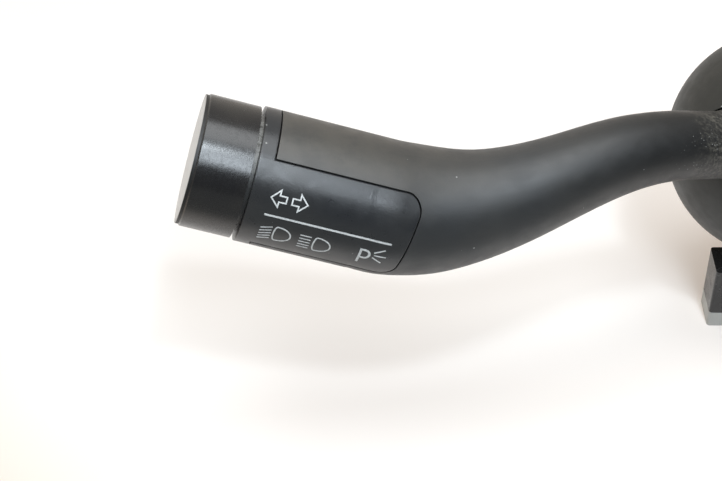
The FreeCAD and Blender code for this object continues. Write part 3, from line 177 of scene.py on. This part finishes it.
class Nodes:
    """A node tree, with short names for the nodes that are added to it."""

    def __init__(self, tree, place):
        self.tree = tree
        self.place = self.node("ShaderNodeTexCoord").outputs[place]

    def node(self, kind, **values):
        made = self.tree.nodes.new(kind)
        for key, value in values.items():
            setattr(made, key, value)
        return made

    def feed(self, socket, value):
        if isinstance(value, bpy.types.NodeSocket):
            self.tree.links.new(value, socket)
        elif isinstance(value, (tuple, list)) and len(value) == 3 and socket.type == "RGBA":
            socket.default_value = (*value, 1.0)
        else:
            socket.default_value = value

    def ramp(self, value, low, high, first=0.0, last=1.0, smooth=True):
        """From first to last as the value goes from low to high."""
        made = self.node("ShaderNodeMapRange", interpolation_type="SMOOTHSTEP" if smooth else "LINEAR")
        self.feed(made.inputs["Value"], value)
        made.inputs["From Min"].default_value = low
        made.inputs["From Max"].default_value = high
        made.inputs["To Min"].default_value = first
        made.inputs["To Max"].default_value = last
        return made.outputs["Result"]

    def maths(self, operation, a, b=0.0):
        made = self.node("ShaderNodeMath", operation=operation)
        self.feed(made.inputs[0], a)
        self.feed(made.inputs[1], b)
        return made.outputs[0]

    def times(self, first, *others):
        for other in others:
            first = self.maths("MULTIPLY", first, other)
        return first

    def mixed(self, share, a, b):
        made = self.node("ShaderNodeMix", data_type="RGBA")
        self.feed(made.inputs[0], share)
        self.feed(made.inputs[6], a)
        self.feed(made.inputs[7], b)
        return made.outputs[2]

    def axis(self, name):
        made = self.node("ShaderNodeSeparateXYZ")
        self.feed(made.inputs[0], self.place)
        return made.outputs[name]


class Recipe(Nodes):
    """One procedural material."""

    def __init__(self, name):
        self.material = bpy.data.materials.new(name)
        self.material.use_nodes = True
        super().__init__(self.material.node_tree, "Object")
        self.shader = self.tree.nodes["Principled BSDF"]

    def stretched(self, stretch):
        mapping = self.node("ShaderNodeMapping")
        self.feed(mapping.inputs["Vector"], self.place)
        mapping.inputs["Scale"].default_value = stretch
        return mapping.outputs["Vector"]

    def noise(self, scale, detail=3.0, rough=0.55, stretch=None):
        made = self.node("ShaderNodeTexNoise")
        self.feed(made.inputs["Vector"], self.stretched(stretch) if stretch else self.place)
        made.inputs["Scale"].default_value = scale
        made.inputs["Detail"].default_value = detail
        made.inputs["Roughness"].default_value = rough
        return made.outputs["Fac"]

    def facing_up(self, low, high):
        """0 to 1 as the upward part of the surface's normal goes from low to high."""
        made = self.node("ShaderNodeSeparateXYZ")
        self.feed(made.inputs[0], self.node("ShaderNodeTexCoord").outputs["Normal"])
        return self.ramp(made.outputs["Z"], low, high)

    def beyond(self, origin, direction):
        """How far the surface lies beyond the origin along a direction, in metres."""
        made = self.node("ShaderNodeVectorMath", operation="DOT_PRODUCT")
        self.feed(made.inputs[0], self.place)
        made.inputs[1].default_value = direction
        return self.maths("SUBTRACT", made.outputs["Value"], Vector(origin).dot(Vector(direction)))

    def worn_edge(self, radius):
        """A normal that rounds sharp edges, so that they catch the light."""
        made = self.node("ShaderNodeBevel", samples=6)
        made.inputs["Radius"].default_value = radius
        return made.outputs["Normal"]

    def specks(self, scale, radius, share):
        """Small round specks, in a share of the cells."""
        cells = self.node("ShaderNodeTexVoronoi")
        self.feed(cells.inputs["Vector"], self.place)
        cells.inputs["Scale"].default_value = scale
        split = self.node("ShaderNodeSeparateColor")
        self.feed(split.inputs[0], cells.outputs["Color"])
        chosen = self.ramp(split.outputs[0], 1.0 - share, 1.0 - share + 0.002, smooth=False)
        dot = self.ramp(cells.outputs["Distance"], radius * 0.6, radius, 1.0, 0.0)
        return self.times(chosen, dot)

    def bump(self, height, distance, strength=1.0, normal=None):
        made = self.node("ShaderNodeBump")
        self.feed(made.inputs["Height"], height)
        made.inputs["Distance"].default_value = distance
        made.inputs["Strength"].default_value = strength
        if normal is not None:
            self.feed(made.inputs["Normal"], normal)
        return made.outputs["Normal"]

    def set(self, **values):
        for key, value in values.items():
            self.feed(self.shader.inputs[key.replace("_", " ")], value)

    def set_specular(self, level):
        self.shader.inputs["Specular IOR Level"].default_value = level


def moulded(name, colour, worn, rough, specular=0.4):
    """Moulded plastic: uneven tone, fine grain and a roughness that wanders."""
    r = Recipe(name)
    tone = r.ramp(r.noise(70.0, 4.0), 0.35, 0.72)
    r.set(Base_Color=r.mixed(tone, colour, worn))
    r.set(Roughness=r.ramp(r.noise(350.0), 0.3, 0.7, rough - 0.05, rough + 0.05))
    r.set(Normal=r.bump(r.noise(2600.0, 2.0), 0.02 * MM))
    r.set_specular(specular)
    return r


def metal(name, colour, dark, rough, stretch):
    """Drawn, ground or stamped metal: fine lines one way, and dull patches."""
    r = Recipe(name)
    lines = r.noise(900.0, 3.0, 0.6, stretch)
    dull = r.ramp(r.noise(160.0, 3.0), 0.4, 0.75)
    r.set(Base_Color=r.mixed(dull, colour, dark))
    r.set(Metallic=1.0)
    r.set(Roughness=r.ramp(lines, 0.25, 0.75, rough - 0.08, rough + 0.1))
    r.set(Normal=r.bump(lines, 0.006 * MM))
    return r


def stalk_plastic(name, colour, worn, rough, dust_and_painted_shade=0.0):
    """The stalk's matt plastic, with specks. Where it gathers dust it has the arm's dust as well, with a
    painted sheen on its upper side and painted shade at its root.
    """
    r = Recipe(name)
    tone = r.ramp(r.noise(55.0, 4.0), 0.35, 0.75)
    base = r.mixed(tone, colour, worn)
    dots = r.maths("MAXIMUM", r.specks(620.0, 0.075, 0.09), r.specks(260.0, 0.06, 0.10))
    # Dust, with a painted sheen on top and painted shade at the root.
    if dust_and_painted_shade:
        base = groove_dust(r, root_painted_shade_and_dust(r, upper_dust_and_painted_sheen(r, base), dust_and_painted_shade))
        dots = r.maths("MAXIMUM", dots, root_crumbs(r))
    r.set(Base_Color=r.mixed(r.times(dots, 0.6), base, (0.48, 0.48, 0.46)))
    r.set(Roughness=r.ramp(r.noise(300.0), 0.3, 0.7, rough - 0.04, rough + 0.06))
    fine = r.bump(r.noise(3800.0, 2.0), 0.018 * MM, 1.0, r.worn_edge(0.25 * MM))
    r.set(Normal=r.bump(r.noise(420.0, 2.0), 0.04 * MM, 0.25, fine))
    r.set_specular(0.6)
    return r


def upper_dust_and_painted_sheen(r, base):
    """Brownish tone on the grip's upper side, partly settled dust and partly a painted sheen where the light
    falls.
    """
    # Painted sheen and dust: the upward-facing part of the grip turns brownish.
    share = r.times(r.facing_up(0.62, 0.90), r.ramp(r.axis("X"), *UPPER_DUST_AND_SHEEN_ENDS, 1.0, 0.0))
    share = r.times(share, r.ramp(r.noise(130.0, 5.0, 0.7), 0.30, 0.62, 0.45, 1.0))
    return r.mixed(share, base, (0.072, 0.067, 0.059))


def root_painted_shade_and_dust(r, base, dust_and_painted_shade):
    """Painted shade that darkens the root, under a grey-brown film of dust next to the ball."""
    # Painted shade: the base darkens towards the root.
    base = r.mixed(r.ramp(r.axis("X"), *ROOT_PAINTED_SHADE_ENDS), base, (0.011, 0.0115, 0.012))
    wander = r.times(r.noise(240.0, 4.0, 0.65), 0.016)
    film = r.ramp(r.maths("ADD", r.axis("X"), wander), *FILM_ENDS)
    grains = r.ramp(r.noise(950.0, 5.0, 0.75), 0.42, 0.66, 0.0, dust_and_painted_shade)
    return r.mixed(r.times(film, grains), base, (0.105, 0.098, 0.082))


def root_crumbs(r):
    """White crumbs along a line across the root."""
    away = r.maths("ABSOLUTE", r.beyond(CRUMB_LINE, CRUMB_ACROSS))
    line = r.ramp(away, 0.6 * MM, 4.0 * MM, 1.0, 0.0)
    line = r.times(line, r.ramp(r.axis("X"), *CRUMB_ENDS))
    return r.times(r.specks(1500.0, 0.20, 0.45), line)


def groove_dust(r, base):
    """Pale dust in the top of the groove beside the push cap, thinning out towards the front."""
    tip, inward, _, up = grip_axes()
    inside = r.ramp(r.beyond(tip, inward), SLEEVE_START + 0.12 * MM, SLEEVE_START, smooth=False)
    top = r.ramp(r.beyond(tip, up), 4.5 * MM, 11.5 * MM)
    grains = r.ramp(r.noise(1500.0, 4.0, 0.7), 0.40, 0.56)
    return r.mixed(r.times(inside, top, grains), base, (0.24, 0.235, 0.22))


def cap_plastic(name):
    """The end cap's polished black, faintly mottled by wear."""
    r = Recipe(name)
    tone = r.ramp(r.noise(90.0, 4.0), 0.4, 0.75)
    base = r.mixed(tone, (0.012, 0.012, 0.013), (0.02, 0.019, 0.018))
    dots = r.specks(900.0, 0.08, 0.05)
    r.set(Base_Color=r.mixed(r.times(dots, 0.35), base, (0.3, 0.3, 0.3)))
    mottle = r.ramp(r.noise(1500.0, 3.0, 0.65), 0.35, 0.7, 0.0, 0.07)
    r.set(Roughness=r.maths("ADD", mottle, 0.22))
    r.set(Normal=r.bump(r.noise(1700.0, 3.0), 0.012 * MM, 0.5))
    r.set_specular(0.65)
    return r


def disc_paint(name):
    """Satin silver on the disc's outer face alone. Its rim is bare black plastic."""
    r = Recipe(name)
    tip, inward = grip_axes()[:2]
    rim = r.ramp(r.beyond(tip, inward), DISC_FACE, DISC_FACE + 0.08 * MM, smooth=False)
    flake = r.noise(5200.0, 2.0)
    silver = r.mixed(flake, (0.66, 0.67, 0.67), (0.78, 0.78, 0.77))
    r.set(Base_Color=r.mixed(rim, silver, (0.012, 0.012, 0.012)))
    r.set(Metallic=r.ramp(rim, 0.0, 1.0, 0.35, 0.0))
    r.set(Roughness=r.ramp(r.noise(700.0), 0.3, 0.7, 0.46, 0.54))
    r.set(Normal=r.bump(flake, 0.004 * MM))
    return r


def board(name):
    """Solder mask over copper tracks."""
    r = Recipe(name)
    track = r.ramp(r.noise(500.0, 1.0), 0.49, 0.51)
    base = r.mixed(track, (0.012, 0.09, 0.035), (0.02, 0.15, 0.06))
    pad = r.specks(420.0, 0.16, 0.16)
    r.set(Base_Color=r.mixed(pad, base, (0.72, 0.70, 0.64)))
    r.set(Metallic=r.times(pad, 0.9))
    r.set(Roughness=r.ramp(r.noise(200.0), 0.3, 0.7, 0.30, 0.42))
    r.set(Normal=r.bump(track, 0.03 * MM))
    return r


def cable(name):
    """Clear film with flat copper strips laid along it."""
    r = Recipe(name)
    rows = r.maths("FRACT", r.times(r.axis("Y"), 620.0))
    strip = r.times(r.ramp(rows, 0.2, 0.25), r.ramp(rows, 0.75, 0.8, 1.0, 0.0))
    r.set(Base_Color=r.mixed(strip, (0.62, 0.60, 0.52), (0.65, 0.36, 0.2)))
    r.set(Metallic=r.times(strip, 0.5))
    r.set(Roughness=r.ramp(r.noise(300.0), 0.3, 0.7, 0.28, 0.4))
    r.set(Normal=r.bump(strip, 0.02 * MM))
    return r


def print_white(name):
    """The symbols' white paint, worn thin in places."""
    r = Recipe(name)
    worn = r.ramp(r.noise(1800.0, 3.0), 0.35, 0.75)
    r.set(Base_Color=r.mixed(worn, (0.80, 0.82, 0.82), (0.58, 0.60, 0.60)))
    r.set(Roughness=r.ramp(worn, 0.0, 1.0, 0.42, 0.6))
    r.set(Normal=r.bump(r.noise(2600.0, 2.0), 0.01 * MM))
    return r


def make_finishes():
    """The material of each of the part's slots."""
    made = {
        "soft_touch": stalk_plastic(
            "soft_touch_grain", (0.029, 0.031, 0.033), (0.041, 0.041, 0.040), 0.44, 0.9),
        "legend_plastic": stalk_plastic(
            "legend_grain", (0.022, 0.024, 0.027), (0.030, 0.031, 0.032), 0.31),
        "shield_plastic": stalk_plastic(
            "shield_grain", (0.012, 0.013, 0.011), (0.024, 0.024, 0.021), 0.50),
        "gloss_black": cap_plastic("cap_gloss"),
        "silver_paint": disc_paint("silver_satin"),
        "circuit_board": board("circuit_mask"),
        "cable_film": cable("cable_strips"),
        "natural_nylon": moulded("nylon_natural", (0.72, 0.69, 0.61), (0.66, 0.62, 0.53), 0.42),
        "switch_body": moulded("switch_black", (0.02, 0.02, 0.022), (0.035, 0.035, 0.036), 0.40),
        "dark_nylon": moulded("nylon_dark", (0.03, 0.03, 0.033), (0.05, 0.05, 0.052), 0.55),
        "white_acetal": moulded("acetal_white", (0.80, 0.80, 0.77), (0.74, 0.73, 0.69), 0.34),
        "case_plastic": moulded("case_black", (0.018, 0.018, 0.019), (0.033, 0.032, 0.031), 0.24, 0.55),
        "light_grey_plastic": moulded("grey_light", (0.50, 0.49, 0.46), (0.44, 0.43, 0.40), 0.45),
        "rotor_plastic": moulded("rotor_black", (0.022, 0.022, 0.024), (0.036, 0.036, 0.037), 0.42),
        "yellow_plastic": moulded("yellow_bright", (0.80, 0.50, 0.03), (0.70, 0.43, 0.03), 0.38),
        "glide_film": moulded("glide_pale", (0.72, 0.71, 0.66), (0.62, 0.61, 0.56), 0.30),
        "cover_plastic": moulded("cover_black", (0.020, 0.020, 0.021), (0.034, 0.033, 0.032), 0.44),
        "carrier_plastic": moulded("carrier_black", (0.024, 0.024, 0.025), (0.038, 0.037, 0.036), 0.48),
        "spring_steel": metal("spring_wire", (0.56, 0.56, 0.57), (0.42, 0.42, 0.43), 0.30, (1, 1, 1)),
        "pin_steel": metal("pin_ground", (0.6, 0.6, 0.61), (0.48, 0.48, 0.49), 0.24, (1, 1, 6)),
        "tinned_brass": metal("brass_tinned", (0.70, 0.66, 0.55), (0.60, 0.52, 0.36), 0.30, (1, 4, 1)),
        "band_steel": metal("band_zinc", (0.58, 0.58, 0.57), (0.46, 0.45, 0.43), 0.34, (6, 1, 1)),
        "screw_steel": metal("screw_zinc", (0.60, 0.59, 0.56), (0.42, 0.40, 0.36), 0.30, (1, 6, 1)),
    }
    return {slot: recipe.material for slot, recipe in made.items()}


def dress_nodes(finishes):
    """Puts each slot's material on every piece that has the slot."""
    for node in NODES.values():
        for slot in node.material_slots:
            slot.material = finishes[slot.material.name.split(".")[0]]


class Sleeve:
    """Places flat drawings on the legend sleeve, casting each point from outside towards the grip's axis."""

    def __init__(self):
        self.tip, self.inward, self.front, self.up = grip_axes()
        mesh = NODES["legend_sleeve"].data
        points = [v.co for v in mesh.vertices]
        self.tree = BVHTree.FromPolygons(points, [p.vertices[:] for p in mesh.polygons])

    def place(self, s, arc, lift):
        angle = arc * MM / GRIP_RADIUS + LEGEND_TURN
        out = self.front * math.cos(angle) + self.up * math.sin(angle)
        start = self.tip + self.inward * (s * MM)
        hit = self.tree.ray_cast(start + out * (GRIP_RADIUS * 1.5), -out)[0]
        reach = (hit - start).dot(out) if hit is not None else GRIP_RADIUS
        return start + out * (reach + lift)


def stroke_sides(points, width, closed):
    """The two edges of a stroke, with mitred corners."""
    count = len(points)
    left, right = [], []
    for i, p in enumerate(points):
        before = points[i - 1] if i or closed else None
        after = points[(i + 1) % count] if i < count - 1 or closed else None
        first = (p - before).normalized() if before is not None else None
        last = (after - p).normalized() if after is not None else None
        first = first if first is not None else last
        last = last if last is not None else first
        side = Vector((-(first + last).y, (first + last).x)).normalized()
        half = width / 2.0 / max(side.dot(Vector((-last.y, last.x))), SHARPEST_MITRE)
        left.append(p + side * half)
        right.append(p - side * half)
    return left, right


def divided(points, closed, step):
    """The same run with more points on its straight parts, so that it bends with the sleeve."""
    out = []
    pairs = list(zip(points, points[1:] + points[:1]))
    for a, b in pairs if closed else pairs[:-1]:
        parts = max(1, math.ceil((b - a).length / step))
        out += [a.lerp(b, i / parts) for i in range(parts)]
    return out if closed else out + [points[-1]]


def add_stroke(mesh, sleeve, points, width, closed=False):
    """A printed line: a thin bar along the points that stands a little above the sleeve."""
    points = divided([Vector(p) for p in points], closed, PRINT_STEP)
    left, right = stroke_sides(points, width, closed)
    rows = []
    for a, b in zip(left, right):
        tops = [sleeve.place(p.x, p.y, PRINT_LIFT) for p in (a, b)]
        feet = [sleeve.place(p.x, p.y, -PRINT_SINK) for p in (b, a)]
        rows.append([mesh.verts.new(p) for p in tops + feet])
    pairs = list(zip(rows, rows[1:] + rows[:1]))
    for one, two in pairs if closed else pairs[:-1]:
        for i in range(4):
            j = (i + 1) % 4
            mesh.faces.new((one[i], one[j], two[j], two[i]))
    if not closed:
        mesh.faces.new(rows[0][::-1])
        mesh.faces.new(rows[-1])


def arrow(s, arc, way):
    """An outline arrow with its point at s, and way 1 where it points to the grip's outer end."""
    head, tail = 1.70, 3.20
    run = [(0.0, 0.0), (head, 1.82), (head, 0.70), (tail, 0.70), (tail, -0.66), (head, -0.66), (head, -1.76)]
    return [(s + x * way, arc + y) for x, y in run]


def lamp_outline(s, arc):
    """A headlamp seen from the side: a flat rounded back and a bowed front."""
    points = []
    for i in range(25):
        t = math.radians(-90.0 + 180.0 * i / 24)
        bow = 3.05 * math.cos(t) ** 0.9 if math.cos(t) > 0 else 0.0
        points.append((s + 0.55 + bow, arc + 2.1 * math.sin(t)))
    for i in range(9):
        t = math.radians(90.0 + 180.0 * i / 8)
        points.append((s + 0.45 + 0.45 * math.cos(t), arc + 2.02 * math.sin(t)))
    return points


def letter_p(s, arc):
    """The letter P in one stroke, from the foot of its stem round its bowl."""
    points = [(s, arc - 4.30), (s, arc), (s + 0.95, arc + 0.03)]
    for i in range(9):
        t = math.radians(90.0 - 180.0 * i / 8)
        points.append((s + 1.0 + 0.98 * math.cos(t), arc - 1.15 + 1.18 * math.sin(t)))
    return points + [(s + 0.15, arc - 2.35)]


def make_symbols():
    """White printed symbols: direction arrows, a rule, dipped beam, main beam and parking light."""
    sleeve = Sleeve()
    mesh = bmesh.new()
    add_stroke(mesh, sleeve, arrow(17.15, 3.50, 1), OUTLINE, True)
    add_stroke(mesh, sleeve, arrow(24.75, 3.55, -1), OUTLINE, True)
    add_stroke(mesh, sleeve, [(16.75, -0.5), (43.65, -0.5)], RULE)
    for i in range(5):
        dipped = -3.22 - 0.89 * i
        add_stroke(mesh, sleeve, [(16.80, dipped - 0.82), (19.20, dipped)], BEAM)
        level = -3.52 - 0.92 * i
        add_stroke(mesh, sleeve, [(25.10, level), (27.50, level)], BEAM)
    add_stroke(mesh, sleeve, lamp_outline(19.72, -5.05), OUTLINE, True)
    add_stroke(mesh, sleeve, lamp_outline(28.20, -5.35), OUTLINE, True)
    add_stroke(mesh, sleeve, letter_p(38.05, -3.45), LETTER)
    add_stroke(mesh, sleeve, [(40.80, -3.62), (42.90, -2.30)], OUTLINE)
    add_stroke(mesh, sleeve, [(40.96, -4.30), (43.50, -4.30)], OUTLINE)
    add_stroke(mesh, sleeve, [(40.80, -5.05), (42.90, -6.25)], OUTLINE)
    bmesh.ops.recalc_face_normals(mesh, faces=mesh.faces)
    piece = add_mesh("legend_symbols", mesh)
    piece.data.materials.append(print_white("print_white").material)
    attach(piece, "stalk")


def floor_paint(name):
    """The floor's pale tone, with painted shade in front and a painted shadow at the front left. The glow
    that camera and mirror rays see lights nothing else; near the module and in front it paints light over
    the object's shadows, and its warm colour paints them cream.
    """
    r = Recipe(name)
    pale = r.mixed(r.ramp(r.noise(3.0, 2.0), 0.3, 0.7), *FLOOR_TONES)
    # Painted shadow at the front left.
    painted_shadow_share = r.ramp(r.beyond(FLOOR_PAINTED_SHADOW_CORNER, FLOOR_PAINTED_SHADOW_WAY), *FLOOR_PAINTED_SHADOW_ENDS)
    pale = r.mixed(painted_shadow_share, pale, FLOOR_PAINTED_SHADOW_TONE)
    # Painted shade in front, which the camera sees pale through the lift below.
    beyond_painted_shade = r.ramp(r.axis("Y"), *FLOOR_PAINTED_SHADE_ENDS)
    r.set(Base_Color=r.mixed(beyond_painted_shade, FLOOR_PAINTED_SHADE, pale))
    r.set(Roughness=r.ramp(r.noise(8.0, 2.0), 0.3, 0.7, 0.8, 0.9))
    r.set_specular(0.1)
    rays = r.node("ShaderNodeLightPath").outputs
    seen = r.maths("MAXIMUM", rays["Is Camera Ray"], rays["Is Glossy Ray"])
    # Painted light: more glow near the module and in front, over the object's shadows.
    glow_and_painted_light_by_x = r.ramp(r.axis("X"), *FLOOR_GLOW_AND_PAINTED_LIGHT_BY_X)
    painted_light_by_y = r.ramp(r.axis("Y"), *FLOOR_PAINTED_LIGHT_BY_Y)
    glow_and_painted_light = r.times(seen, beyond_painted_shade, r.maths("ADD", glow_and_painted_light_by_x, painted_light_by_y))
    lift = r.times(rays["Is Camera Ray"], r.ramp(beyond_painted_shade, 0.0, 1.0, FLOOR_PAINTED_SHADE_CAMERA_LIFT, 0.0, smooth=False))
    r.set(Emission_Color=r.mixed(beyond_painted_shade, FLOOR_PAINTED_SHADE_CAMERA_GLOW, FLOOR_GLOW_AND_SHADOW_TINT))
    r.set(Emission_Strength=r.maths("ADD", glow_and_painted_light, lift))
    return r


def make_floor():
    """One large flat square under the part."""
    mesh = bmesh.new()
    half = FLOOR_SIZE / 2.0
    corners = [(-half, -half), (half, -half), (half, half), (-half, half)]
    mesh.faces.new([mesh.verts.new((x, y, FLOOR_Z)) for x, y in corners])
    floor = add_mesh("floor", mesh)
    floor.data.materials.append(floor_paint("floor_pale").material)


def make_world():
    """The room's light, by direction."""
    world = bpy.data.worlds.new("room")
    bpy.context.scene.world = world
    world.use_nodes = True
    n = Nodes(world.node_tree, "Generated")
    back = n.tree.nodes["Background"]
    room = n.mixed(n.ramp(n.axis("Y"), *ROOM_TURN), ROOM_FRONT, ROOM_BACK)
    side = n.ramp(n.axis("X"), *ROOM_SIDE, 1.0, ROOM_RIGHT)
    camera = n.node("ShaderNodeLightPath").outputs["Is Camera Ray"]
    n.feed(back.inputs["Color"], n.mixed(camera, room, ROOM_SEEN))
    n.feed(back.inputs["Strength"], n.maths("MAXIMUM", side, camera))


make_camera()
make_world()
for lamp_name, values in LAMPS.items():
    make_lamp(lamp_name, *values)
make_floor()
dress_nodes(make_finishes())
make_symbols()
bpy.context.scene.view_settings.view_transform = "Standard"
